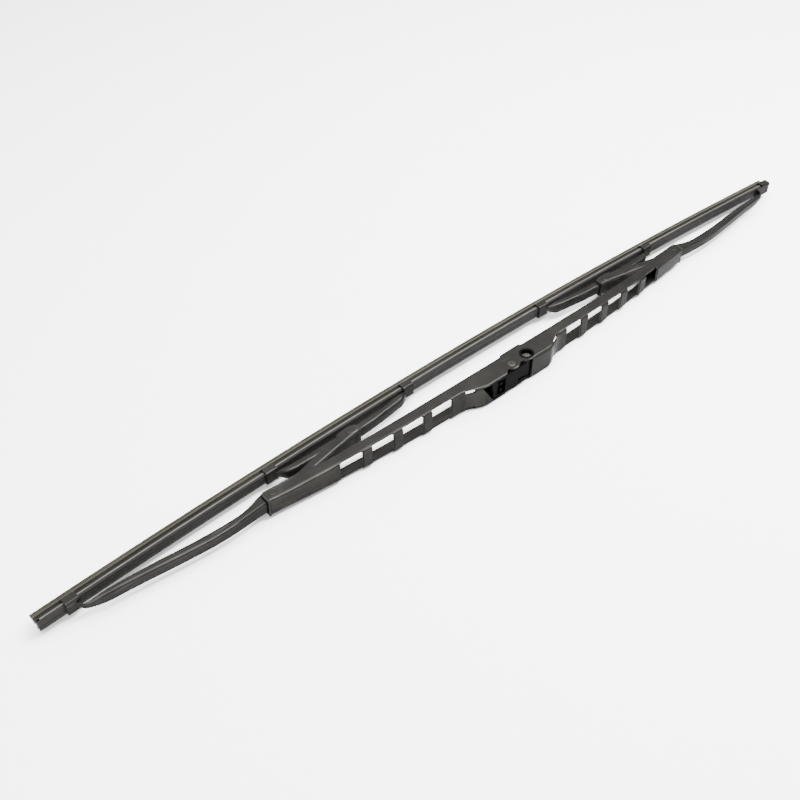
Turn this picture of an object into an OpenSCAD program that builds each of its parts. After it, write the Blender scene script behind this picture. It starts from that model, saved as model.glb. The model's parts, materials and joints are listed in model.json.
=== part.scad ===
// Framed wiper blade with six claws, lying on its side.
// The blade is drawn in blade coordinates: X runs along the blade from its middle, Y is counted
// from the middle of the wiping edge with +Y towards the glass, and Z runs across its width.
// It is then moved so that the origin is on the axis of the arm tube, half way across the blade.

/* [Blade] */
// Length of the wiping rubber
rubber_len = 600; // [560:5:640]
// Share of the rubber's length that the bridge spans
bridge_share = 0.58; // [0.57:0.005:0.59]
// Share of the rubber's length between a main pivot and its inner pivot
inner_share = 0.101; // [0.098:0.001:0.104]
// Share of the rubber's length between an inner pivot and each of its claws
claw_share = 0.085; // [0.083:0.001:0.087]
// Length of rubber that sticks out past the open end claw
rubber_tail = 14.9; // [10:0.5:18]

/* [Wiping rubber] */
// Radius of the rubber's bow, at the wiping edge
bow_r = 4700; // [4200:100:9000]
// Width of the rubber's head
head_w = 7; // [6.4:0.1:7.4]
// Height of the rubber from the wiping edge to its back
rubber_h = 9.8; // [9.4:0.1:10.4]
// Depth of the head, from its back to its flange
head_h = 3.3; // [3:0.1:3.6]
// Width of the wedge that carries the lip
wedge_w = 4.8; // [4:0.1:5.4]
// Thickness of the lip at the wiping edge
lip_t = 0.8; // [0.6:0.1:1.2]
// Thickness of the neck that lets the lip flip over
neck_t = 1.3; // [1:0.1:1.6]

/* [Flexor rails] */
// Width of each steel rail
rail_w = 2.5; // [2.2:0.1:2.7]
// Thickness of each steel rail
rail_t = 0.8; // [0.6:0.1:0.9]
// Distance that each rail ends short of the rubber's ends
rail_short = 2; // [1:0.5:6]

/* [Claws] */
// Thickness of the claws
claw_t = 0.95; // [0.8:0.05:1]
// Gap between a claw and the rubber that slides in it
claw_gap = 0.15; // [0.1:0.01:0.2]
// Length of each ordinary claw along the blade
claw_len = 7.6; // [6:0.2:9]
// Length of the end claw, which closes over the rubber's end
end_claw_len = 14; // [10:0.5:14]
// Length of the end claw's folded sides, at its outer end
end_hook_len = 8; // [7:0.5:9]
// Distance between the end claw's outer edge and the rubber's end
end_claw_inset = 1.5; // [0.5:0.5:3]

/* [Pivots] */
// Distance of each main pivot from the bridge's end
main_pivot_inset = 4; // [3.6:0.2:6]
// Radius of the main pivot rivets
main_rivet_r = 1.45; // [1.25:0.05:1.5]
// Radius of the inner pivot rivets
inner_rivet_r = 1.3; // [1.15:0.05:1.35]
// Radius of the rivets' heads
rivet_head_r = 2; // [1.8:0.1:2.4]
// Height of the rivets' heads
rivet_head_t = 0.4; // [0.3:0.05:0.6]
// Radial clearance of each pivot
pivot_gap = 0.06; // [0.03:0.01:0.1]

/* [Bridge] */
// Thickness of the bridge's steel
bridge_t = 1.1; // [0.9:0.05:1.2]
// Outer radius of the bridge's bends
bridge_bend = 1.8; // [1.4:0.1:2.2]
// Half width of the bridge over its middle
bridge_half_w = 8.4; // [8:0.1:8.8]
// Half width of the bridge at its ends
bridge_end_half_w = 6; // [5.8:0.05:6.3]
// Distance from the middle at which the bridge starts to narrow
narrow_from = 60; // [50:1:70]
// Height of the bridge's back above the wiping edge, beside the raised middle
bridge_level = 39.6; // [38.6:0.2:41]
// Rise of the middle over the rest of the back
hump_rise = 5.3; // [4.7:0.1:5.8]
// Outer radius of the bends over the raised middle
hump_bend = 1.3; // [1.2:0.05:1.6]
// Length of the raised middle's flat top left of the blade's middle
left_hump_flat = 24; // [22:0.5:26]
// Length of the raised middle's flat top right of the blade's middle
right_hump_flat = 28; // [26:0.5:30]
// Half length of the raised middle at its foot
hump_foot = 42; // [40:0.5:43]
// Radius of the arch outside the raised middle
arch_r = 1190; // [1140:10:1260]
// Depth of the bridge's flanges at the middle, measured from the foot of the raised middle
flange_depth = 8.3; // [8:0.1:9]
// Rise of the flanges' open edges into an ear at each main pivot
ear_rise = 2.3; // [1.8:0.1:2.4]
// Width of each strap between two windows
strap_w = 6; // [5:0.25:8]
// Length of the solid left end, past the last window
left_solid_end = 44; // [38:1:48]
// Number of windows on the left
left_windows = 4; // [3:1:4]
// Length of the solid right end, past the last window
right_solid_end = 28.5; // [26:0.5:34]
// Number of windows on the right
right_windows = 5; // [4:1:5]
// Distance of the first windows from the foot of the raised middle
first_window_gap = 7; // [6:0.25:9]
// How far the windows reach into the flanges, from the back
window_depth = 1.6; // [1.4:0.1:2.2]

/* [Arm tube and adapter] */
// Distance of the arm tube from the blade's middle
tube_x = 12.6; // [12:0.1:13.5]
// Depth of the arm tube's axis below the back of the raised middle
tube_drop = 5.6; // [5.4:0.1:6]
// Radius of the arm tube's bore
tube_bore_r = 3.2; // [3:0.05:3.4]
// Wall of the arm tube
tube_wall = 0.6; // [0.5:0.05:0.7]
// Width of the tube's flared rims
tube_rim = 0.95; // [0.7:0.05:1.1]
// Distance of the cross rivet's axis from the arm tube's axis along the blade
cross_rivet_gap = 13.8; // [13.4:0.1:14.2]
// Depth of the cross rivet's axis below the back of the raised middle
cross_rivet_drop = 4.9; // [4.7:0.1:5.2]
// Radius of the cross rivet
cross_rivet_r = 1.8; // [1.5:0.05:2]
// Radius of the cross rivet's heads
cross_head_r = 2.5; // [2.3:0.05:2.7]
// Side clearance of the adapter in the bridge
adapter_gap = 0.3; // [0.2:0.05:0.5]

/* [Yokes] */
// Thickness of the outer yokes' steel
outer_yoke_t = 0.9; // [0.8:0.05:0.95]
// Thickness of the inner yokes' steel
inner_yoke_t = 0.8; // [0.7:0.05:0.9]
// Half width of an outer yoke's long arm
outer_arm_half_w = 3.5; // [3.2:0.05:3.8]
// Half width of an inner yoke
inner_half_w = 3.7; // [3.5:0.05:3.8]
// Outer radius of the yokes' bends
yoke_bend = 1.6; // [1.2:0.1:1.8]
// Half width of the necks that carry the claws
neck_half_w = 1.8; // [1.5:0.1:2]

/* [Pivot liners] */
// Side clearance between a liner and the yoke that turns in it
liner_gap = 0.05; // [0.03:0.01:0.06]
// Thickness of the liners' cheeks
liner_wall = 0.6; // [0.5:0.05:0.65]
// How far the liners' cheeks reach in past the pivot
liner_reach = 6.5; // [6:0.5:7]
// Width of the rim that each liner shows past the steel
liner_rim = 1.3; // [1:0.1:1.6]

/* [Hidden] */
$fn = 48;

steel_black = [0.20, 0.20, 0.19];
steel_grey = [0.45, 0.45, 0.44];
rubber_black = [0.13, 0.13, 0.12];
plastic_black = [0.05, 0.05, 0.05];

seat_gap = 0.02;

// Places along the blade, as distances from its middle
bridge_half = bridge_share * rubber_len / 2;
main_pivot_x = bridge_half - main_pivot_inset;
inner_arm = inner_share * rubber_len;
inner_pivot_x = main_pivot_x - inner_arm;
claw_reach = claw_share * rubber_len;
second_claw_x = inner_pivot_x + claw_reach;
third_claw_x = inner_pivot_x - claw_reach;
outer_claw_x = (rubber_len - rubber_tail - claw_len - end_claw_len - end_claw_inset) / 2;
outer_arm = outer_claw_x - main_pivot_x;
hump_top = -bridge_level - hump_rise;
tube_y = hump_top + tube_drop;
cross_rivet_x = tube_x - cross_rivet_gap;
cross_rivet_y = hump_top + cross_rivet_drop;
tube_r = tube_bore_r + tube_wall;

// Nested half widths: each yoke runs in a liner inside the piece that carries it
liner_room = seat_gap + liner_wall + liner_gap;
outer_half_w = bridge_end_half_w - bridge_t - liner_room;
outer_ear_half_w = inner_half_w + liner_room + outer_yoke_t;

// Curves through key points: a cubic with the slopes of the neighbouring points.

function slope_at(keys, i) =
    i == 0 ? (keys[1][1] - keys[0][1]) / (keys[1][0] - keys[0][0])
    : i == len(keys) - 1 ? (keys[i][1] - keys[i - 1][1]) / (keys[i][0] - keys[i - 1][0])
    : (keys[i + 1][1] - keys[i - 1][1]) / (keys[i + 1][0] - keys[i - 1][0]);

function curve_at(keys, x, i = 0) =
    i < len(keys) - 2 && x > keys[i + 1][0] ? curve_at(keys, x, i + 1)
    : let (
        span = keys[i + 1][0] - keys[i][0],
        u = min(1, max(0, (x - keys[i][0]) / span)),
        u2 = u * u,
        u3 = u2 * u
    )
    (2 * u3 - 3 * u2 + 1) * keys[i][1] + (u3 - 2 * u2 + u) * span * slope_at(keys, i)
    + (3 * u2 - 2 * u3) * keys[i + 1][1] + (u3 - u2) * span * slope_at(keys, i + 1);

function ease(a, b, x) = let (u = min(1, max(0, (x - a) / (b - a)))) u * u * (3 - 2 * u);

// The rubber's bow: height of the wiping edge at x, and its slope there in degrees

function bow_y(x) = sqrt(bow_r * bow_r - x * x) - bow_r;
function bow_slope(x) = -asin(x / bow_r);

// Levels measured from the wiping edge

flange_h = rubber_h - head_h;
plate_h = rubber_h + claw_gap + claw_t;
hook_h = flange_h - claw_gap;
hook_slot_half = neck_t / 2 + 0.75;

function plate_y(x) = bow_y(x) - plate_h;

// Channels of bent sheet: one ring of the section at each station [x, back, edge, half width],
// with its own bend radius as a fifth value where it differs

bend_steps = 3;

function bend_points(back, half, r, side, first, last) = [
    for (i = [0 : bend_steps])
        let (a = first + (last - first) * i / bend_steps)
        [back + r - r * sin(a), side * (half - r + r * cos(a))]
];

function channel_ring(s, wall, bend) =
    let (
        x = s[0],
        back = s[1],
        edge = max(s[2], back + 0.6),
        half = s[3],
        web = min(wall, 0.7 * (edge - back)),
        r_out = min(len(s) > 4 ? s[4] : bend, 0.8 * (edge - back), 0.8 * half),
        r_in = max(min(r_out - wall, 0.5 * (edge - back - web)), 0.05)
    )
    [for (p = concat(
        [[edge, half]],
        bend_points(back, half, r_out, 1, 0, 90),
        bend_points(back, half, r_out, -1, 90, 0),
        [[edge, -half], [edge, wall - half]],
        bend_points(back + web, half - wall, r_in, -1, 0, 90),
        bend_points(back + web, half - wall, r_in, 1, 90, 0),
        [[edge, half - wall]]
    )) [x, p[0], p[1]]];

module channel(stations, wall, bend) {
    rings = [for (s = stations) channel_ring(s, wall, bend)];
    n = len(rings[0]);
    last = len(rings) - 1;
    sides = [
        for (i = [0 : last - 1], j = [0 : n - 1])
            let (a = i * n + j, b = i * n + (j + 1) % n)
            each [[b + n, b, a], [a + n, b + n, a]]
    ];
    // Each end is a strip between the outer and the inner half of the ring
    first_end = [
        for (j = [0 : n / 2 - 2])
            let (c = n - 1 - j)
            each [[c - 1, c, j], [j + 1, c - 1, j]]
    ];
    last_end = [for (f = first_end) [for (k = [2 : -1 : 0]) last * n + f[k]]];
    polyhedron(points = [for (r = rings) each r], faces = concat(sides, first_end, last_end));
}

// Bridge: height of its back and of its flanges' open edge

ear_from = bridge_half - 43;
ear_to = bridge_half - 22;
edge_arch_x = 0.75 * hump_foot;
edge_arch_r = 1.62 * arch_r;

arch_x = 0.88 * hump_foot;
function arch_y(x) = let (u = max(0, abs(x) - arch_x)) u * u / (2 * arch_r);
function bridge_back(x) =
    arch_y(x) - bridge_level
    - hump_rise * (1 - ease(x < 0 ? left_hump_flat : right_hump_flat, hump_foot, abs(x)));
function bridge_edge(x) =
    let (u = max(0, abs(x) - edge_arch_x))
    u * u / (2 * edge_arch_r) + flange_depth - bridge_level + ear_rise * ease(ear_from, ear_to, abs(x));

narrow_to = bridge_half - 8;
function bridge_half_w_at(x) =
    bridge_half_w
    - (bridge_half_w - bridge_end_half_w) * min(1, max(0, (abs(x) - narrow_from) / (narrow_to - narrow_from)));
function bridge_bend_at(x) = hump_bend + (bridge_bend - hump_bend) * ease(0.8 * hump_foot, hump_foot + 3, abs(x));

main_pivot_depth = 4.8;
main_pivot_y = bridge_back(main_pivot_x) + main_pivot_depth;

// Stations: close together over the raised middle, and wider apart along the arch
fine_to = hump_foot + 8.5;
fine_steps = 16;
arch_steps = 13;
bridge_stations_x = concat(
    [for (i = [-arch_steps : -1]) i * (bridge_half - fine_to) / arch_steps - fine_to],
    [for (i = [-fine_steps : fine_steps]) i * fine_to / fine_steps],
    [for (i = [1 : arch_steps]) i * (bridge_half - fine_to) / arch_steps + fine_to]
);

first_window_x = hump_foot + first_window_gap;
left_pitch = (bridge_half - left_solid_end - first_window_x + strap_w) / left_windows;
right_pitch = (bridge_half - right_solid_end - first_window_x + strap_w) / right_windows;

module sheet_hole(x, y, r, half) {
    translate([x, y, 0]) cylinder(r = r, h = 2 * half + 4, center = true);
}

// A window: cut through the back and a little into both flanges, with round inner corners
module window(x_from, x_to) {
    mid = (x_from + x_to) / 2;
    w = x_to - x_from;
    r = 0.9 * window_depth;
    tilt = atan((bridge_back(x_to) - bridge_back(x_from)) / w);
    translate([mid, bridge_back(mid), 0]) rotate([0, 0, tilt])
        linear_extrude(height = 2 * bridge_half_w + 4, center = true) {
            translate([-w / 2, -6]) square([w, 6 + window_depth - r]);
            translate([r - w / 2, -6]) square([w - 2 * r, 6 + window_depth]);
            for (s = [-1, 1]) translate([s * (w / 2 - r), window_depth - r]) circle(r = r);
        }
}

// The gaps at the hump's foot, where its back has been drawn away from the flange
gap_len = 6;
gap_depth = 1.3;
gap_reach = 3;

module corner_gap(x_from, side) {
    x_to = x_from + gap_len;
    y_from = bridge_back(x_from);
    y_to = bridge_back(x_to);
    translate([0, 0, side * (bridge_half_w + 1 - gap_reach / 2)])
        linear_extrude(height = gap_reach + 2, center = true)
            polygon([
                [x_from, y_from - 1], [x_to, y_to - 1], [x_to, y_to + gap_depth], [x_from, y_from + gap_depth]
            ]);
}

// The slit along the bend between the raised back and the flange
slit_w = 0.5;

module bend_slit(x_from, x_to, side) {
    translate([x_from, hump_top - 2, side * (bridge_half_w - bridge_t - slit_w) - slit_w / 2])
        cube([x_to - x_from, hump_rise + 2 + bridge_t, slit_w]);
}

// The opening over the adapter: its left end is cut askew, and its right end is beside the arm tube
opening_from = cross_rivet_x - 27.7;
opening_skew = 9;
opening_to = tube_x + 0.1;
notch_depth = 2.6;

module adapter_opening() {
    half = bridge_half_w - bridge_t;
    translate([0, hump_top + bridge_t + 0.6, 0]) rotate([90, 0, 0]) linear_extrude(height = 6)
        polygon([[opening_from, half], [opening_to, half], [opening_to, -half], [opening_from + opening_skew, -half]]);
    // The flanges' edges: level beside the web's cut, with one notch on each side of the cross rivet
    linear_extrude(height = 2 * bridge_half_w + 4, center = true)
        polygon([
            [opening_from + opening_skew, hump_top - 4], [opening_from + opening_skew, hump_top + 0.25],
            [cross_rivet_x - 8.4, hump_top + 0.25], [cross_rivet_x - 5.2, hump_top + notch_depth],
            [cross_rivet_x - 1.4, hump_top + 0.7], [cross_rivet_x + 1.4, hump_top + 0.4],
            [cross_rivet_x + 6.1, hump_top + notch_depth], [cross_rivet_x + 7.4, hump_top + 2.1],
            [opening_to, hump_top + 0.25], [opening_to, hump_top - 4]
        ]);
}

// A low tab on both flanges' open edges, beside the arm tube
tab_rise = 1.1;

module tube_tabs() {
    edge = bridge_edge(0);
    for (s = [-1, 1])
        translate([0, 0, s * (bridge_half_w - bridge_t / 2)])
            linear_extrude(height = bridge_t, center = true)
                polygon([
                    [tube_x - 15.2, edge - 1], [tube_x - 15.2, edge], [tube_x - 14.2, edge + tab_rise],
                    [tube_x + 1.6, edge + tab_rise + 0.3], [tube_x + 3.4, edge], [tube_x + 3.4, edge - 1]
                ]);
}

module bridge() {
    stations = [
        for (x = bridge_stations_x) [x, bridge_back(x), bridge_edge(x), bridge_half_w_at(x), bridge_bend_at(x)]
    ];
    difference() {
        union() {
            channel(stations, bridge_t, bridge_bend);
            tube_tabs();
        }
        for (i = [0 : left_windows - 1])
            window(-first_window_x - (i + 1) * left_pitch + strap_w, -first_window_x - i * left_pitch);
        for (i = [0 : right_windows - 1])
            window(first_window_x + i * right_pitch, first_window_x + (i + 1) * right_pitch - strap_w);
        for (x = [3 - hump_foot, hump_foot - 9], s = [-1, 1])
            corner_gap(x, s);
        for (s = [-1, 1]) {
            bend_slit(opening_to + 2, hump_foot - 7, s);
            bend_slit(-hump_foot + 3, opening_from + 1, s);
        }
        adapter_opening();
        for (s = [-1, 1])
            sheet_hole(s * main_pivot_x, main_pivot_y, main_rivet_r + seat_gap, bridge_half_w);
        sheet_hole(cross_rivet_x, cross_rivet_y, cross_rivet_r + seat_gap, bridge_half_w);
        sheet_hole(tube_x, tube_y, tube_r + seat_gap, bridge_half_w);
    }
}

// Rivets: a shank with a low bevelled head against each outer face

module rivet(r, head_r, half) {
    cylinder(r = r, h = 2 * half, center = true);
    for (s = [-1, 1])
        translate([0, 0, s * half]) rotate([s < 0 ? 180 : 0, 0, 0]) {
            cylinder(r = head_r, h = rivet_head_t / 2);
            translate([0, 0, rivet_head_t / 2]) cylinder(r1 = head_r, r2 = 0.75 * head_r, h = rivet_head_t / 2);
        }
}

// The cross rivet has a cross pressed into both heads
module crossed_rivet() {
    half = bridge_half_w + seat_gap;
    difference() {
        rivet(cross_rivet_r, cross_head_r, half);
        for (s = [-1, 1], a = [0, 90])
            translate([0, 0, s * (half + rivet_head_t)]) rotate([0, 0, a])
                cube([1.3 * cross_head_r, 0.5, rivet_head_t], center = true);
    }
}

// Arm tube: hollow, with flared rims outside both flanges
rim_t = 0.65;

module tube() {
    half = bridge_half_w + seat_gap;
    rotate_extrude()
        polygon([
            [tube_bore_r, -half + 0.4], [tube_bore_r + 0.2, -half], [tube_r + 0.1, -half - rim_t],
            [tube_r + tube_rim - 0.3, -half - rim_t], [tube_r + tube_rim, -half - rim_t / 2],
            [tube_r + tube_rim, -half], [tube_r, -half], [tube_r, half], [tube_r + tube_rim, half],
            [tube_r + tube_rim, half + rim_t / 2], [tube_r + tube_rim - 0.3, half + rim_t],
            [tube_r + 0.1, half + rim_t], [tube_bore_r + 0.2, half], [tube_bore_r, half - 0.4]
        ]);
}

// Adapter for the arm: it clips onto the cross rivet and turns on it, clear of the arm tube
adapter_half_w = bridge_half_w - bridge_t - adapter_gap;
adapter_top = hump_top + 0.1;
adapter_foot = cross_rivet_y + 4.4;
adapter_nose_x = cross_rivet_x - 18.6;
adapter_reach = tube_x - cross_rivet_x - tube_r - 0.35;
adapter_bore_r = cross_rivet_r + pivot_gap;
hook_room = 4.8;
catch_room = 5.6;

adapter_arc_to = asin((adapter_foot - cross_rivet_y) / adapter_reach);
adapter_arc_from = -asin((cross_rivet_y - adapter_top) / adapter_reach);

// One outline: the nose, the top, the round end, and the clip's mouth round the rivet
module adapter_side() {
    bore = adapter_bore_r;
    polygon(concat(
        [
            [adapter_nose_x, adapter_top + 9.4], [adapter_nose_x, adapter_top + 3],
            [adapter_nose_x + 1, adapter_top + 1.2], [adapter_nose_x + 3, adapter_top + 0.3],
            [adapter_nose_x + 6, adapter_top]
        ],
        [for (i = [0 : 12])
            let (a = adapter_arc_from + (adapter_arc_to - adapter_arc_from) * i / 12)
            [cross_rivet_x + adapter_reach * cos(a), cross_rivet_y + adapter_reach * sin(a)]],
        [
            [cross_rivet_x + 0.8 * bore, adapter_foot], [cross_rivet_x + 0.8 * bore, cross_rivet_y],
            [cross_rivet_x - 0.8 * bore, cross_rivet_y], [cross_rivet_x - 0.8 * bore, adapter_foot],
            [cross_rivet_x - 8.4, adapter_foot], [adapter_nose_x + 1.4, adapter_top + 10.6]
        ]
    ));
}

module adapter() {
    difference() {
        linear_extrude(height = 2 * adapter_half_w, center = true) adapter_side();
        translate([cross_rivet_x, cross_rivet_y, 0])
            cylinder(r = adapter_bore_r, h = 2 * adapter_half_w + 2, center = true);
        // The pocket that takes the arm's hook, from the nose inwards
        translate([adapter_nose_x - 1, adapter_top + 4, -hook_room])
            cube([13, 4.2, 2 * hook_room]);
        // The cross recess behind the nose, and the shallow step at the round end
        translate([adapter_nose_x + 3.5, adapter_top - 1, -catch_room]) cube([6, 3.2, 2 * catch_room]);
        translate([cross_rivet_x + 2, adapter_top - 1, -catch_room + 1.5]) cube([9, 1.8, 2 * catch_room - 3]);
    }
    // Two catches that stand in the cross recess
    for (z = [-3.6, 1.2])
        translate([adapter_nose_x + 5.4, adapter_top + 0.6, z]) cube([2.2, 3, 1.6]);
}

// Outer yokes, drawn on the +X side

inner_pivot_depth = 3.55;
inner_pivot_y = plate_y(inner_pivot_x) - 5.7;
outer_end_x = inner_pivot_x - 4.9;
outer_back_at_main = main_pivot_y - main_pivot_depth + bridge_t + 0.9;
outer_neck_x = outer_claw_x - 1;

outer_back_keys = [
    [outer_end_x, inner_pivot_y - inner_pivot_depth + 0.35],
    [inner_pivot_x, inner_pivot_y - inner_pivot_depth],
    [inner_pivot_x + 0.41 * inner_arm, inner_pivot_y - inner_pivot_depth - 4.5],
    [main_pivot_x - 10, outer_back_at_main + 0.2],
    [main_pivot_x + 4, outer_back_at_main],
    [main_pivot_x + 0.3 * outer_arm, outer_back_at_main - 1.8],
    [main_pivot_x + 0.48 * outer_arm, outer_back_at_main - 0.6],
    [outer_claw_x - 0.235 * outer_arm, plate_y(outer_claw_x) - 8],
    [outer_claw_x - 8, plate_y(outer_claw_x) - 6.4],
    [outer_neck_x, plate_y(outer_claw_x) - 4.4],
    [outer_claw_x + 2.2, plate_y(outer_claw_x + 2.2) + 0.1],
    [outer_claw_x + 5, plate_y(outer_claw_x + 5) + 0.1]
];
outer_edge_keys = [
    [outer_end_x, inner_pivot_y + 2.6],
    [inner_pivot_x - 2.4, inner_pivot_y + 3.4],
    [inner_pivot_x + 2.4, inner_pivot_y + 3.1],
    [inner_pivot_x + 7.2, inner_pivot_y + 2.5],
    [inner_pivot_x + 8.4, inner_pivot_y + 0.9],
    [inner_pivot_x + 0.41 * inner_arm, inner_pivot_y - 2.4],
    [main_pivot_x - 0.3 * inner_arm, main_pivot_y + 3.4],
    [main_pivot_x - 5, main_pivot_y + 3.6],
    [main_pivot_x + 5, main_pivot_y + 4],
    [main_pivot_x + 13, main_pivot_y + 1.6],
    [main_pivot_x + 21, main_pivot_y + 0.1],
    [main_pivot_x + 0.45 * outer_arm, main_pivot_y + 1],
    [outer_claw_x - 0.38 * outer_arm, plate_y(outer_claw_x) - 5.2],
    [outer_claw_x - 0.18 * outer_arm, plate_y(outer_claw_x) - 3.9],
    [outer_claw_x - 6, plate_y(outer_claw_x) - 3.6],
    [outer_neck_x, plate_y(outer_claw_x) - 2.8],
    [outer_claw_x + 2.2, plate_y(outer_claw_x + 2.2) + claw_t - 0.1],
    [outer_claw_x + 5, plate_y(outer_claw_x + 5) + claw_t - 0.1]
];

// The width narrows from the ear to the bridge's end, along the long arm, and again at the neck
function outer_half_w_at(x) =
    outer_half_w
    + (outer_ear_half_w - outer_half_w)
    * (1 - ease(inner_pivot_x + 0.45 * inner_arm, main_pivot_x - liner_reach - 1, x))
    - (outer_half_w - outer_arm_half_w) * ease(main_pivot_x + 1, main_pivot_x + 40, x)
    - (outer_arm_half_w - neck_half_w) * ease(outer_claw_x - 14, outer_neck_x + 1, x);

outer_stations_x = concat(
    [for (i = [0 : 5]) outer_end_x + i * 2],
    [for (i = [0 : 4]) inner_pivot_x + 7.2 + i * 1.2],
    [for (i = [0 : 7]) inner_pivot_x + 16 + i * (inner_arm - 21) / 7],
    [for (i = [0 : 8]) main_pivot_x - 2 + i * 3.4],
    [for (i = [0 : 7]) main_pivot_x + 31 + i * (outer_arm - 45) / 7],
    [for (i = [0 : 12]) outer_claw_x - 10 + i * 15 / 12]
);

// A claw: a plate on the rubber's back, folded round both sides of its head
module claw_side() {
    out = head_w / 2 + claw_gap + claw_t;
    difference() {
        translate([-(plate_h + hook_h - claw_t) / 2, 0])
            rounded([plate_h - hook_h + claw_t, 2 * out], 1.1);
        translate([-plate_h + claw_t, -out + claw_t])
            square([plate_h - hook_h - claw_t, 2 * (out - claw_t)]);
        translate([-hook_h - 0.5, -hook_slot_half]) square([claw_t + 1.5, 2 * hook_slot_half]);
    }
}

module rounded(size, r) {
    square([size[0] - 2 * r, size[1]], center = true);
    square([size[0], size[1] - 2 * r], center = true);
    for (a = [-1, 1], b = [-1, 1])
        translate([a * (size[0] / 2 - r), b * (size[1] / 2 - r)]) circle(r = r, $fn = 32);
}

module on_bow(x_mid, length) {
    translate([x_mid, bow_y(x_mid), 0]) rotate([0, 0, bow_slope(x_mid)]) rotate([90, 0, 90])
        linear_extrude(height = length, center = true) children();
}

module claw(x_mid, length) {
    on_bow(x_mid, length) claw_side();
}

// The part of the end claw without folded sides
module claw_plate(x_mid, length) {
    on_bow(x_mid, length)
        translate([claw_t / 2 - plate_h, 0]) square([claw_t, head_w + 2 * claw_gap], center = true);
}

module outer_yoke(end_len, hook_len) {
    difference() {
        channel(
            [for (x = outer_stations_x)
                [x, curve_at(outer_back_keys, x), curve_at(outer_edge_keys, x), outer_half_w_at(x)]],
            outer_yoke_t, yoke_bend
        );
        sheet_hole(main_pivot_x, main_pivot_y, main_rivet_r + pivot_gap, outer_half_w);
        sheet_hole(inner_pivot_x, inner_pivot_y, inner_rivet_r + seat_gap, outer_ear_half_w);
    }
    claw(outer_claw_x + end_len - hook_len / 2, hook_len);
    if (end_len > hook_len) claw_plate(outer_claw_x + (end_len - hook_len) / 2 + 0.5, end_len - hook_len + 1);
}

// Inner yokes, drawn on the +X side

inner_back_drop = inner_pivot_depth - outer_yoke_t - 0.35;
inner_edge_y = inner_pivot_y + 2.2;
inner_near_x = third_claw_x + claw_len / 2;
inner_far_x = second_claw_x - claw_len / 2;

inner_back_keys = [
    [inner_near_x - 4, plate_y(third_claw_x) + 0.1],
    [inner_near_x - 1.5, plate_y(third_claw_x) + 0.05],
    [inner_near_x + 1.2, plate_y(third_claw_x) - 3],
    [inner_near_x + 5, inner_pivot_y - inner_back_drop + 4.2],
    [inner_near_x + 0.26 * claw_reach, inner_pivot_y - inner_back_drop + 3],
    [inner_pivot_x - 0.4 * claw_reach, inner_pivot_y - inner_back_drop + 1.2],
    [inner_pivot_x, inner_pivot_y - inner_back_drop],
    [inner_pivot_x + 0.5 * claw_reach, inner_pivot_y - inner_back_drop + 0.25],
    [inner_far_x - 5, inner_pivot_y - inner_back_drop + 1.2],
    [inner_far_x - 1.2, plate_y(second_claw_x) - 3],
    [inner_far_x + 1.5, plate_y(second_claw_x) + 0.05],
    [inner_far_x + 4, plate_y(second_claw_x) + 0.1]
];
inner_edge_keys = [
    [inner_near_x - 4, plate_y(third_claw_x) + claw_t - 0.1],
    [inner_near_x - 1, plate_y(third_claw_x) + claw_t - 0.1],
    [inner_near_x + 2.5, plate_y(third_claw_x) - 0.7],
    [inner_near_x + 7, plate_y(third_claw_x) - 1.2],
    [inner_near_x + 0.3 * claw_reach, inner_edge_y + 1.6],
    [inner_pivot_x - 0.25 * claw_reach, inner_edge_y + 0.3],
    [inner_pivot_x + 0.3 * claw_reach, inner_edge_y],
    [inner_far_x - 8, inner_edge_y],
    [inner_far_x - 2.5, plate_y(second_claw_x) - 0.9],
    [inner_far_x + 1, plate_y(second_claw_x) + claw_t - 0.1],
    [inner_far_x + 4, plate_y(second_claw_x) + claw_t - 0.1]
];

function inner_half_w_at(x) =
    neck_half_w
    + (inner_half_w - neck_half_w)
    * ease(inner_near_x - 1, inner_near_x + 5, x) * (1 - ease(inner_far_x - 5, inner_far_x + 1, x));

inner_stations_x = concat(
    [for (i = [0 : 9]) inner_near_x - 3.4 + i * 1.4],
    [for (i = [1 : 7]) inner_near_x + 9.2 + i * (inner_far_x - inner_near_x - 18.4) / 8],
    [for (i = [0 : 9]) inner_far_x - 9.2 + i * 1.4]
);

module inner_yoke() {
    difference() {
        channel(
            [for (x = inner_stations_x)
                [x, curve_at(inner_back_keys, x), curve_at(inner_edge_keys, x), inner_half_w_at(x)]],
            inner_yoke_t, yoke_bend
        );
        sheet_hole(inner_pivot_x, inner_pivot_y, inner_rivet_r + pivot_gap, inner_half_w);
    }
    claw(third_claw_x, claw_len);
    claw(second_claw_x, claw_len);
}

// Plastic liners: two cheeks beside the yoke and a rim past the end of the steel.
// x_end is the steel's end, out is +1 or -1 along X, and the sizes are half widths.
module liner(x_pivot, y_pivot, x_end, out, half_in, half_out, half_rim, low, high, rim_low, rim_floor, hole_r) {
    difference() {
        union() {
            for (s = [-1, 1]) {
                translate([min(x_pivot - out * liner_reach, x_end + out * seat_gap), low, s < 0 ? -half_out : half_in])
                    cube([abs(x_end - x_pivot) + liner_reach + seat_gap, high - low, half_out - half_in]);
                translate([min(x_end + out * seat_gap, x_end + out * liner_rim), rim_low, s < 0 ? -half_rim : half_in])
                    cube([liner_rim - seat_gap, high - rim_low, half_rim - half_in]);
            }
            translate([min(x_end + out * seat_gap, x_end + out * liner_rim), rim_low, -half_rim])
                cube([liner_rim - seat_gap, rim_floor, 2 * half_rim]);
        }
        translate([x_pivot, y_pivot, 0]) cylinder(r = hole_r, h = 2 * half_rim + 2, center = true);
    }
}

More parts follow.
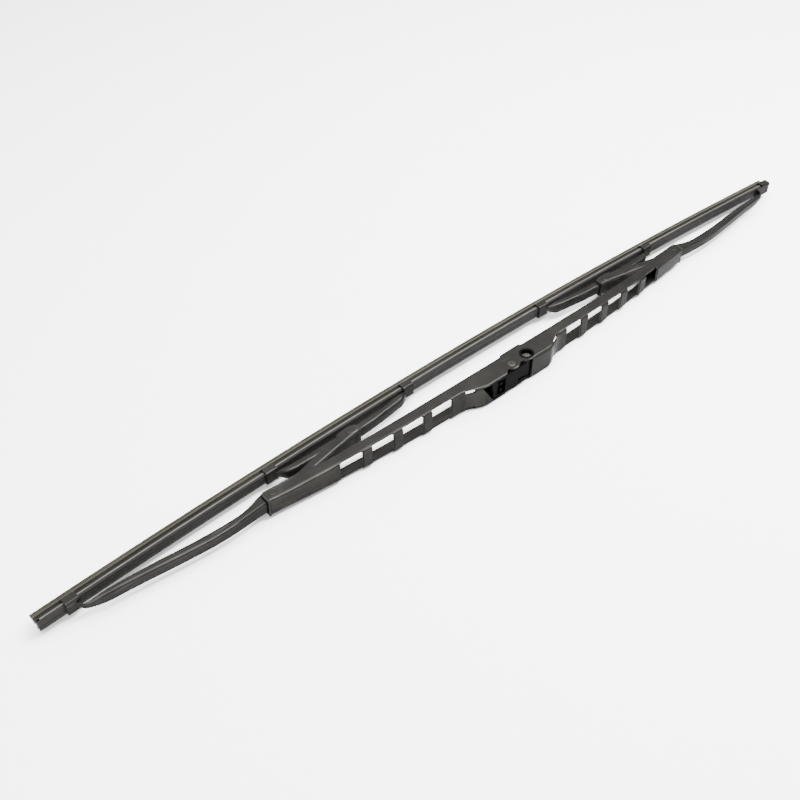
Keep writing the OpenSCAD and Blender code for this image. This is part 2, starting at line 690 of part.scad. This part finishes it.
module main_liner() {
    back = bridge_back(bridge_half);
    liner(
        main_pivot_x, main_pivot_y, bridge_half, 1,
        outer_half_w + liner_gap, bridge_end_half_w - bridge_t - seat_gap, bridge_end_half_w - 0.1,
        main_pivot_y - 2.4, main_pivot_y + 3.1, back + 0.15, 0.5,
        main_rivet_r + seat_gap
    );
}

module inner_liner() {
    back = curve_at(outer_back_keys, outer_end_x);
    liner(
        inner_pivot_x, inner_pivot_y, outer_end_x, -1,
        inner_half_w + liner_gap, outer_ear_half_w - outer_yoke_t - seat_gap, outer_ear_half_w - 0.1,
        inner_pivot_y - 2, inner_pivot_y + 2.1, back + 0.1, 0.4,
        inner_rivet_r + seat_gap
    );
}

// Rubber and rails: sections swept round the centre of the bow

module sweep_bow(x_from, x_to) {
    turn_from = acos(x_to / bow_r);
    turn = acos(x_from / bow_r) - turn_from;
    translate([0, -bow_r, 0]) rotate([0, 0, turn_from])
        rotate_extrude(angle = turn, $fn = 1440) children();
}

rubber_from = -(outer_claw_x + claw_len + rubber_tail);
rubber_to = rubber_from + rubber_len;
slot_h = rail_t + 0.1;
slot_mid_h = rubber_h - head_h / 2 - 0.15;
slot_floor = head_w / 2 - rail_w;

// Half of the rubber's outline, as [height from the wiping edge, half thickness]
rubber_half = [
    [0, lip_t / 2], [2.6, lip_t / 2 + 0.2], [flange_h - 1.9, wedge_w / 2], [flange_h - 1.5, wedge_w / 2],
    [flange_h - 1.15, neck_t / 2], [flange_h - 0.1, neck_t / 2], [flange_h, head_w / 2 - 0.1],
    [slot_mid_h - slot_h / 2, head_w / 2], [slot_mid_h - slot_h / 2, slot_floor],
    [slot_mid_h + slot_h / 2, slot_floor], [slot_mid_h + slot_h / 2, head_w / 2],
    [rubber_h - 0.5, head_w / 2 - 0.1], [rubber_h, head_w / 2 - 0.6]
];

module rubber_section() {
    n = len(rubber_half);
    polygon(concat(
        [for (p = rubber_half) [bow_r - p[0], p[1]]],
        [for (i = [n - 1 : -1 : 0]) [bow_r - rubber_half[i][0], -rubber_half[i][1]]]
    ));
}

module rail(side) {
    sweep_bow(rubber_from + rail_short, rubber_to - rail_short)
        translate([bow_r - slot_mid_h, side * (slot_floor + 0.05 + rail_w / 2)])
            square([rail_t, rail_w], center = true);
}

// From blade coordinates to the part's own frame, and from the +X side to either side

module in_part_frame() {
    translate([-tube_x, -tube_y, 0]) children();
}

module on_side(s) {
    mirror([s < 0 ? 1 : 0, 0, 0]) children();
}

module main_bridge() {
    color(steel_black) in_part_frame() bridge();
}

module arm_tube() {
    color(steel_grey) tube();
}

module cross_rivet() {
    color(steel_black) in_part_frame() translate([cross_rivet_x, cross_rivet_y, 0]) crossed_rivet();
}

module arm_adapter() {
    color(plastic_black) in_part_frame() adapter();
}

module main_rivet(s) {
    color(steel_black) in_part_frame() on_side(s)
        translate([main_pivot_x, main_pivot_y, 0])
            rivet(main_rivet_r, rivet_head_r, bridge_end_half_w + seat_gap);
}

module inner_rivet(s) {
    color(steel_black) in_part_frame() on_side(s)
        translate([inner_pivot_x, inner_pivot_y, 0])
            rivet(inner_rivet_r, rivet_head_r, outer_ear_half_w + seat_gap);
}

module left_main_rivet() {
    main_rivet(-1);
}

module right_main_rivet() {
    main_rivet(1);
}

module left_main_liner() {
    color(plastic_black) in_part_frame() on_side(-1) main_liner();
}

module right_main_liner() {
    color(plastic_black) in_part_frame() on_side(1) main_liner();
}

module left_outer_yoke() {
    color(steel_black) in_part_frame() on_side(-1) outer_yoke(claw_len, claw_len);
}

module right_outer_yoke() {
    color(steel_black) in_part_frame() on_side(1) outer_yoke(end_claw_len, end_hook_len);
}

module left_inner_rivet() {
    inner_rivet(-1);
}

module right_inner_rivet() {
    inner_rivet(1);
}

module left_inner_liner() {
    color(plastic_black) in_part_frame() on_side(-1) inner_liner();
}

module right_inner_liner() {
    color(plastic_black) in_part_frame() on_side(1) inner_liner();
}

module left_inner_yoke() {
    color(steel_black) in_part_frame() on_side(-1) inner_yoke();
}

module right_inner_yoke() {
    color(steel_black) in_part_frame() on_side(1) inner_yoke();
}

module wiping_rubber() {
    color(rubber_black) in_part_frame() sweep_bow(rubber_from, rubber_to) rubber_section();
}

module upper_rail() {
    color(steel_grey) in_part_frame() rail(1);
}

module lower_rail() {
    color(steel_grey) in_part_frame() rail(-1);
}

main_bridge();
arm_tube();
cross_rivet();
arm_adapter();
left_main_rivet();
right_main_rivet();
left_main_liner();
right_main_liner();
left_outer_yoke();
right_outer_yoke();
left_inner_rivet();
right_inner_rivet();
left_inner_liner();
right_inner_liner();
left_inner_yoke();
right_inner_yoke();
wiping_rubber();
upper_rail();
lower_rail();
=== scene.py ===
import json
import math

import bmesh
import bpy
import numpy as np
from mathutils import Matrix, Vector


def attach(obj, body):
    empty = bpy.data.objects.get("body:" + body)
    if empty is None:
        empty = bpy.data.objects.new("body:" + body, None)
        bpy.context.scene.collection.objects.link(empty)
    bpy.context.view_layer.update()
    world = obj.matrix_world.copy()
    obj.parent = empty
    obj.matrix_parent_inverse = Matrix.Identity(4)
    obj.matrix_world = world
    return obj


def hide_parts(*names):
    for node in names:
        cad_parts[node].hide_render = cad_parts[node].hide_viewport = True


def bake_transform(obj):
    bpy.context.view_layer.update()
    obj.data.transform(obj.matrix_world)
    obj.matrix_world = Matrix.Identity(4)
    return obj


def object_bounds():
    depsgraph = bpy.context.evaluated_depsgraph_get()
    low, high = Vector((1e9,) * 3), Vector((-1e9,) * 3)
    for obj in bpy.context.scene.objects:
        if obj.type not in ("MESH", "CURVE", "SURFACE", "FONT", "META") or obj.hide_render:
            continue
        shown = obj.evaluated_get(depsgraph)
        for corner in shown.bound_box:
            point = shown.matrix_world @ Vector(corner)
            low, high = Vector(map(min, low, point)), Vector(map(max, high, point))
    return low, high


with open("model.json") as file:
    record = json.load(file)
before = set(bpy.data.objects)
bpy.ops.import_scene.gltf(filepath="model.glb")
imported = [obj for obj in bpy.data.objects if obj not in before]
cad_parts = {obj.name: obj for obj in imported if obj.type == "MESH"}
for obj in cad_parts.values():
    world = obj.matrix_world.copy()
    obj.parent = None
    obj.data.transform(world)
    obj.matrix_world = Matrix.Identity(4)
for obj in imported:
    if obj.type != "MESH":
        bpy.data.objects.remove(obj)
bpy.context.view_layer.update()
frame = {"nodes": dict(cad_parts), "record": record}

MM = 0.001
# The part's origin in blade coordinates: X from the blade's middle, Y from the wiping edge's middle
TUBE_X, TUBE_Y = 12.6, -39.3
# Radius of the rubber's bow at the wiping edge, in millimetres
BOW_R = 4700


def place(x, y, z):
    """A point in blade coordinates, in millimetres, as a point of the frame in metres."""
    return Vector(((x - TUBE_X) * MM, (y - TUBE_Y) * MM, z * MM))


# Camera and light

CAMERA_AZIMUTH, CAMERA_ELEVATION = -40.88, 43.79
CAMERA_TARGET = Vector((-79.7, 26.0, 0)) * MM
CAMERA_DISTANCE = 0.617
CAMERA_LENS, SENSOR_WIDTH = 46.8, 36
FLOOR_SIZE = 12


def make_camera():
    a, e = math.radians(CAMERA_AZIMUTH), math.radians(CAMERA_ELEVATION)
    back = Vector((math.sin(a) * math.cos(e), -math.cos(a) * math.cos(e), math.sin(e)))
    data = bpy.data.cameras.new("camera")
    data.lens = CAMERA_LENS
    data.sensor_width = SENSOR_WIDTH
    data.clip_start = 0.01
    camera = bpy.data.objects.new("camera", data)
    bpy.context.collection.objects.link(camera)
    camera.location = CAMERA_TARGET + back * CAMERA_DISTANCE
    camera.rotation_mode = "QUATERNION"
    camera.rotation_quaternion = (-back).to_track_quat("-Z", "Y")
    bpy.context.scene.camera = camera


def area_light(name, location, target, size, power):
    """A rectangular light, its long side along X as long as it is aimed square to X."""
    data = bpy.data.lights.new(name, "AREA")
    data.shape = "RECTANGLE"
    data.size, data.size_y = size
    data.energy = power
    light = bpy.data.objects.new(name, data)
    bpy.context.collection.objects.link(light)
    light.location = location
    light.rotation_mode = "QUATERNION"
    light.rotation_quaternion = (Vector(target) - Vector(location)).to_track_quat("-Z", "Y")


def make_light():
    world = bpy.data.worlds.new("studio")
    world.use_nodes = True
    background = world.node_tree.nodes["Background"]
    background.inputs["Color"].default_value = (1, 1, 1, 1)
    background.inputs["Strength"].default_value = 0.6
    bpy.context.scene.world = world
    area_light("top softbox", (0.1, -0.05, 1.0), (0.1, 0.0, 0), (1.6, 0.9), 60)
    area_light("strip", (0.5, -0.27, 0.95), (0.5, 0.0, 0), (1.1, 0.05), 34)
    area_light("back softbox", (0.62, 0.65, 0.85), (0.62, 0.0, 0), (2.6, 1.2), 25)
    area_light("left softbox", (-0.8, -0.5, 0.55), (-0.1, 0, 0), (0.7, 0.5), 6)


# Materials

# Painted shade: colour in grooves and corners narrower than this reach darkens towards the near-black
# colour below, by ambient occlusion
PAINTED_SHADE_REACH = 1.6 * MM
PAINTED_SHADE_COLOR = (0.001, 0.001, 0.001)


class Shader:
    """A material's node tree, with short calls for the nodes used here."""

    def __init__(self, name):
        self.material = bpy.data.materials.new(name)
        self.material.use_nodes = True
        self.tree = self.material.node_tree
        self.surface = self.tree.nodes["Principled BSDF"]
        self.coords = self.node("ShaderNodeTexCoord").outputs["Object"]

    def node(self, kind, **values):
        n = self.tree.nodes.new(kind)
        for key, value in values.items():
            setattr(n, key, value)
        return n

    def link(self, source, target):
        self.tree.links.new(source, target)

    def set(self, **values):
        for key, value in values.items():
            self.surface.inputs[key.replace("_", " ")].default_value = value

    def noise(self, scale, detail=3, stretch=(1, 1, 1)):
        mapping = self.node("ShaderNodeMapping")
        mapping.inputs["Scale"].default_value = stretch
        self.link(self.coords, mapping.inputs["Vector"])
        n = self.node("ShaderNodeTexNoise")
        n.inputs["Scale"].default_value = scale
        n.inputs["Detail"].default_value = detail
        self.link(mapping.outputs["Vector"], n.inputs["Vector"])
        return n.outputs["Fac"]

    def ramp(self, source, low, high, out_low, out_high):
        n = self.node("ShaderNodeMapRange")
        n.inputs["From Min"].default_value = low
        n.inputs["From Max"].default_value = high
        n.inputs["To Min"].default_value = out_low
        n.inputs["To Max"].default_value = out_high
        self.link(source, n.inputs["Value"])
        return n.outputs["Result"]

    def radius(self, centre=(0, 0, 0)):
        """Distance from an axis across the blade, the arm tube's unless another centre is given."""
        moved = self.node("ShaderNodeVectorMath", operation="SUBTRACT")
        moved.inputs[1].default_value = centre
        self.link(self.coords, moved.inputs[0])
        flat = self.node("ShaderNodeVectorMath", operation="MULTIPLY")
        flat.inputs[1].default_value = (1, 1, 0)
        self.link(moved.outputs["Vector"], flat.inputs[0])
        length = self.node("ShaderNodeVectorMath", operation="LENGTH")
        self.link(flat.outputs["Vector"], length.inputs[0])
        return length.outputs["Value"]

    def from_middle_plane(self):
        """Distance from the blade's middle plane, to either side."""
        split = self.node("ShaderNodeSeparateXYZ")
        self.link(self.coords, split.inputs["Vector"])
        size = self.node("ShaderNodeMath", operation="ABSOLUTE")
        self.link(split.outputs["Z"], size.inputs[0])
        return size.outputs["Value"]

    def mix(self, factor, a, b):
        n = self.node("ShaderNodeMix", data_type="RGBA")
        for socket, value in ((n.inputs["A"], a), (n.inputs["B"], b)):
            if isinstance(value, tuple):
                socket.default_value = (*value, 1)
            else:
                self.link(value, socket)
        self.link(factor, n.inputs["Factor"])
        return n.outputs["Result"]

    def bump(self, source, distance, strength=1.0, before=None):
        n = self.node("ShaderNodeBump")
        n.inputs["Strength"].default_value = strength
        n.inputs["Distance"].default_value = distance
        self.link(source, n.inputs["Height"])
        if before:
            self.link(before, n.inputs["Normal"])
        return n.outputs["Normal"]

    def finish(self, color, roughness, normal, painted_shade_depth=0.0):
        """Joins the surface's inputs; the last argument is how deep painted shade darkens grooves and
        corners.
        """
        # Painted shade: ambient occlusion mixes the colour towards near black in grooves and corners
        if painted_shade_depth:
            open_sky = self.node("ShaderNodeAmbientOcclusion", samples=6)
            open_sky.inputs["Distance"].default_value = painted_shade_depth
            color = self.mix(self.ramp(open_sky.outputs["AO"], 0.2, 0.75, 0, 1), PAINTED_SHADE_COLOR, color)
        self.link(color, self.surface.inputs["Base Color"])
        self.link(roughness, self.surface.inputs["Roughness"])
        self.link(normal, self.surface.inputs["Normal"])
        return self.material


def painted_steel(name, tone=1.0, bare_r=0.0):
    """Semi-gloss black paint over pressed steel: orange peel, dust and light rubs.

    tone is a factor on its colours. The tube's bore, out to the radius bare_r, is bare steel with a
    painted glint:
    near white deep in the bore, and painted shade, near black, towards the tube's mouths.
    """
    s = Shader(name)
    s.set(Metallic=0.6, Specular_IOR_Level=0.06, Specular_Tint=(0, 0, 0, 1))
    cloud = s.noise(60, 4)
    rubs = s.ramp(s.noise(240, 6, (0.12, 1, 1)), 0.62, 0.74, 0, 1)
    dark, warm, rubbed = (
        tuple(tone * channel for channel in shade)
        for shade in ((0.0145, 0.0143, 0.0134), (0.0195, 0.0192, 0.0179), (0.033, 0.0325, 0.0303))
    )
    color = s.mix(rubs, s.mix(s.ramp(cloud, 0.3, 0.7, 0, 1), dark, warm), rubbed)
    roughness = s.ramp(cloud, 0.3, 0.7, 0.17, 0.26)
    peel = s.bump(s.noise(2600, 2), 0.00002, 0.3)
    normal = s.bump(s.noise(420, 3), 0.00005, 0.12, peel)
    if bare_r:
        bare = s.ramp(s.radius(), bare_r, bare_r + 0.15 * MM, 1, 0)
        # Painted glint and shade: the bore is near white deep inside and near black towards both
        # mouths
        painted_glint_mask = s.ramp(s.from_middle_plane(), 4.6 * MM, 6.2 * MM, 1, 0)
        color = s.mix(bare, color, s.mix(painted_glint_mask, (0.02, 0.02, 0.02), (0.85, 0.84, 0.82)))
        s.link(s.ramp(bare, 0, 1, 0.6, 1), s.surface.inputs["Metallic"])
    # Painted shade in grooves and corners, left off the tube
    return s.finish(color, roughness, normal, 0 if bare_r else PAINTED_SHADE_REACH)


def rubber(name):
    """Wiping rubber: dull and slightly chalky with fine lines along its length, browner at the lip."""
    s = Shader(name)
    s.set(Specular_IOR_Level=0.06)
    lines = s.noise(900, 3, (0.015, 1, 1))
    chalk = s.ramp(s.noise(75, 5, (0.3, 1, 1)), 0.35, 0.7, 0, 1)
    lip = s.mix(chalk, (0.017, 0.0159, 0.012), (0.028, 0.0264, 0.021))
    head = s.mix(chalk, (0.006, 0.0059, 0.0053), (0.011, 0.0107, 0.0096))
    to_bow_centre = s.radius(place(0, -BOW_R, 0))
    color = s.mix(s.ramp(to_bow_centre, (BOW_R - 5.6) * MM, (BOW_R - 5.0) * MM, 0, 1), head, lip)
    roughness = s.ramp(chalk, 0, 1, 0.5, 0.68)
    grain = s.bump(s.noise(3200, 2), 0.00002, 0.4)
    normal = s.bump(lines, 0.00006, 0.35, grain)
    # Painted shade darkens the rubber's grooves and corners
    return s.finish(color, roughness, normal, PAINTED_SHADE_REACH)


def rail_steel(name):
    """Rolled spring steel: fine lines along the rail."""
    s = Shader(name)
    s.set(Metallic=1.0)
    lines = s.noise(1500, 3, (0.01, 1, 1))
    color = s.mix(s.ramp(lines, 0.35, 0.65, 0, 1), (0.07, 0.068, 0.064), (0.12, 0.117, 0.11))
    roughness = s.ramp(lines, 0.3, 0.7, 0.36, 0.48)
    normal = s.bump(lines, 0.00003, 0.4)
    return s.finish(color, roughness, normal)


def black_plastic(name, metallic, low, high, rough_low, rough_high):
    """Injection-moulded black plastic, its grey and roughness each between two values."""
    s = Shader(name)
    s.set(Metallic=metallic, Specular_IOR_Level=0.05, Specular_Tint=(0, 0, 0, 1))
    cloud = s.noise(130, 4)
    color = s.mix(s.ramp(cloud, 0.3, 0.7, 0, 1), (low, low, low), (high, high, high))
    roughness = s.ramp(cloud, 0.3, 0.7, rough_low, rough_high)
    normal = s.bump(s.noise(900, 2), 0.00003, 0.3)
    # Painted shade darkens the plastic's grooves and corners
    return s.finish(color, roughness, normal, PAINTED_SHADE_REACH)


def floor_white(name):
    s = Shader(name)
    s.set(Specular_IOR_Level=0.2)
    cloud = s.noise(3, 2)
    color = s.mix(cloud, (0.93, 0.93, 0.93), (0.95, 0.95, 0.95))
    roughness = s.ramp(cloud, 0.3, 0.7, 0.7, 0.8)
    return s.finish(color, roughness, s.bump(s.noise(400, 2), 0.00005, 0.05))


STEEL = painted_steel("painted steel")
RUBBER = rubber("wiping rubber")
RAIL = rail_steel("rail steel")
# Painted highlight: the cross rivet's head is a copy of the paint twice as light, standing in for the
# light its rim catches
PAINTED_HIGHLIGHT_RIVET = painted_steel("rivet steel", tone=2.0)
# The tube's bore carries a painted glint, with painted shade towards its mouths
TUBE_WITH_PAINTED_GLINT = painted_steel("tube steel", tone=0.35, bare_r=3.25 * MM)
GLOSS = black_plastic("gloss plastic", 0.8, 0.004, 0.007, 0.10, 0.20)
SATIN = black_plastic("satin plastic", 0.5, 0.014, 0.02, 0.38, 0.52)


# Pieces

def smooth(mesh, angle):
    mesh.shade_smooth()
    mesh.set_sharp_from_angle(angle=math.radians(angle))


def bevel(piece, width, angle=40, segments=2):
    m = piece.modifiers.new("edges", "BEVEL")
    m.width = width
    m.segments = segments
    m.limit_method = "ANGLE"
    m.angle_limit = math.radians(angle)
    m.harden_normals = True


def even_shading(piece):
    """Flat faces keep their own shading, and the bends between them take up the turn."""
    m = piece.modifiers.new("shading", "WEIGHTED_NORMAL")
    m.keep_sharp = True
    m.weight = 80


def as_piece(name, mesh, material):
    mesh.materials.clear()
    mesh.materials.append(material)
    piece = bpy.data.objects.new(name, mesh)
    bpy.context.collection.objects.link(piece)
    return piece


WELD_DISTANCE, FLAT_ANGLE, SHARP_ANGLE = 2e-6, 0.4, 38


def dress(node, body, material, edge):
    """A copy of a CAD solid with welded, smoothed faces and softened edges, in place of the solid."""
    mesh = frame["nodes"][node].data.copy()
    bm = bmesh.new()
    bm.from_mesh(mesh)
    bmesh.ops.remove_doubles(bm, verts=bm.verts, dist=WELD_DISTANCE)
    bmesh.ops.dissolve_limit(bm, angle_limit=math.radians(FLAT_ANGLE), verts=bm.verts, edges=bm.edges)
    bm.to_mesh(mesh)
    bm.free()
    if mesh.has_custom_normals:
        mesh.normals_split_custom_set(np.zeros((len(mesh.loops), 3)).tolist())
    smooth(mesh, SHARP_ANGLE)
    piece = as_piece(node + "_dressed", mesh, material)
    bevel(piece, edge)
    even_shading(piece)
    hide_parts(node)
    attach(piece, body)


# The material and the width of the softened edges for each material slot
SLOT_LOOKS = {
    "painted_steel": (STEEL, 0.00016),
    "adapter_plastic": (GLOSS, 0.0003),
    "liner_plastic": (SATIN, 0.0001),
    "spring_steel": (RAIL, 0.0001),
}
# The cross rivet's lighter paint is a painted highlight, and the tube's bore carries a painted glint
NODE_LOOKS = {"arm_tube": TUBE_WITH_PAINTED_GLINT, "cross_rivet": PAINTED_HIGHLIGHT_RIVET}


def dress_solids():
    record = frame["record"]
    slots = {s["node"]: s["material_slot"] for s in record["subparts"]}
    for body, nodes in record["behaviour"]["bodies"].items():
        for node in nodes:
            if body != "refill":
                material, edge = SLOT_LOOKS[slots[node]]
                material = NODE_LOOKS.get(node, material)
                dress(node, body, material, edge)


# The wiping rubber and its rails, bent with the blade's bow

RUBBER_H, HEAD_H, HEAD_W, WEDGE_W, LIP_T, NECK_T = 9.8, 3.3, 7, 4.8, 0.8, 1.3
RAIL_W, RAIL_T = 2.5, 0.8
RUBBER_FROM, RUBBER_TO = -303.5, 296.5
RAIL_SHORT = 2
FLANGE_H = RUBBER_H - HEAD_H
SLOT_MID = RUBBER_H - HEAD_H / 2 - 0.15
SLOT_H = RAIL_T + 0.1
SLOT_FLOOR = HEAD_W / 2 - RAIL_W
# The middle length reaches into its neighbours with slightly slimmer tongues
TONGUE, TONGUE_SCALE = 1.2, 0.97
RING_STEP = 6


def bow_point(x, height, z):
    """A point at a height above the wiping edge, square to the bow at x along the edge."""
    a = math.asin(x / BOW_R)
    r = BOW_R - height
    return place(r * math.sin(a), r * math.cos(a) - BOW_R, z)


def round_corner(a, b, c, r, steps=3):
    """Points of an arc-like curve that cuts the corner at b."""
    a, b, c = (np.array(v, float) for v in (a, b, c))
    p = b + (a - b) / np.linalg.norm(a - b) * r
    q = b + (c - b) / np.linalg.norm(c - b) * r
    curve = [(1 - t) ** 2 * p + 2 * t * (1 - t) * b + t * t * q for t in np.linspace(0, 1, steps + 1)]
    return [tuple(point) for point in curve]


def rubber_outline():
    """The rubber's closed section as (height above the wiping edge, z)."""
    half = HEAD_W / 2
    corners = [
        ((0, LIP_T / 2), 0.05), ((2.4, LIP_T / 2 + 0.2), 0.6), ((FLANGE_H - 2.5, WEDGE_W / 2), 0.25),
        ((FLANGE_H - 2.1, WEDGE_W / 2), 0.15), ((FLANGE_H - 1.8, NECK_T / 2), 0.15),
        ((FLANGE_H - 0.1, NECK_T / 2), 0.2), ((FLANGE_H, half - 0.05), 0.2),
        ((SLOT_MID - SLOT_H / 2, half), 0.12), ((SLOT_MID - SLOT_H / 2, SLOT_FLOOR), 0.05),
        ((SLOT_MID + SLOT_H / 2, SLOT_FLOOR), 0.05), ((SLOT_MID + SLOT_H / 2, half), 0.12),
        ((RUBBER_H, half - 0.15), 0.5), ((RUBBER_H, 0.9), 0.1), ((RUBBER_H - 0.25, 0.6), 0.1),
    ]
    mirrored = [((h, -z), r) for (h, z), r in reversed(corners)]
    loop = corners + mirrored
    points = []
    for i, (corner, r) in enumerate(loop):
        before, after = loop[i - 1][0], loop[(i + 1) % len(loop)][0]
        points += round_corner(before, corner, after, r)
    return points


def bowed_mesh(name, outline, x_from, x_to, tongue):
    """A section swept along the bow, closed at both ends, with a tongue of some length at each end."""
    count = max(2, round((x_to - x_from) / RING_STEP) + 1)
    sections = [(x, outline) for x in np.linspace(x_from, x_to, count)]
    if tongue:
        middle = np.mean(outline, axis=0)
        slim = [middle + TONGUE_SCALE * (np.array(point) - middle) for point in outline]
        sections = [(x_from - tongue, slim), (x_from, slim), *sections]
        sections += [(x_to, slim), (x_to + tongue, slim)]
    bm = bmesh.new()
    rings = []
    for x, section in sections:
        rings.append([bm.verts.new(bow_point(x, h, z)) for h, z in section])
    n = len(outline)
    for near, far in zip(rings, rings[1:]):
        for j in range(n):
            k = (j + 1) % n
            bm.faces.new((near[j], near[k], far[k], far[j]))
    bm.faces.new(list(reversed(rings[0])))
    bm.faces.new(rings[-1])
    bmesh.ops.recalc_face_normals(bm, faces=bm.faces)
    mesh = bpy.data.meshes.new(name)
    bm.to_mesh(mesh)
    bm.free()
    smooth(mesh, 42)
    return mesh


def rail_outline(side):
    mid = side * (SLOT_FLOOR + 0.05 + RAIL_W / 2)
    t, w = RAIL_T / 2, RAIL_W / 2
    low, high = SLOT_MID - t, SLOT_MID + t
    corners = [(low, mid - w), (low, mid + w), (high, mid + w), (high, mid - w)]
    points = []
    for i, corner in enumerate(corners):
        points += round_corner(corners[i - 1], corner, corners[(i + 1) % 4], 0.12, 2)
    return points


def refill_spans(third_claw, second_claw):
    """The refill's lengths as (name, side, from, to), with the seams under claws."""
    spans = [("middle", 0, -third_claw, third_claw)]
    for side, name, end in ((-1, "left", RUBBER_FROM), (1, "right", RUBBER_TO)):
        spans.append((name + "_inner", side, *sorted((side * third_claw, side * second_claw))))
        spans.append((name + "_outer", side, *sorted((side * second_claw, end))))
    return spans


def make_refill(third_claw, second_claw):
    """Rubber and rails in five lengths: the middle one on the refill, and two on each side, of which
    only the inner one follows a yoke.
    """
    strips = [("rubber", rubber_outline(), RUBBER, "rubber", "wiping_rubber", 0)]
    strips += [
        (label, rail_outline(z_side), RAIL, "spring_steel", node, RAIL_SHORT)
        for label, z_side, node in (("rail_up", 1, "upper_rail"), ("rail_down", -1, "lower_rail"))
    ]
    for name, side, x_from, x_to in refill_spans(third_claw, second_claw):
        side_name = name.split("_")[0]
        for label, outline, material, slot_name, node, short in strips:
            start = max(x_from, RUBBER_FROM + short)
            stop = min(x_to, RUBBER_TO - short)
            piece_name = f"{label}_{name}"
            mesh = bowed_mesh(piece_name, outline, start, stop, TONGUE if name == "middle" else 0)
            piece = as_piece(piece_name, mesh, material)
            even_shading(piece)
            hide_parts(node)
            if name == "middle":
                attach(piece, "refill")
            elif name.endswith("inner"):
                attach(piece, side_name + "_inner")
            else:
                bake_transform(piece)


def make_floor():
    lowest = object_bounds()[0][2]
    bpy.ops.mesh.primitive_plane_add(size=FLOOR_SIZE, location=(0, 0, lowest))
    floor = bpy.context.object
    floor.name = "floor"
    floor.data.materials.append(floor_white("floor"))


make_camera()
make_light()
dress_solids()
make_refill(third_claw=58.4, second_claw=160.4)
make_floor()
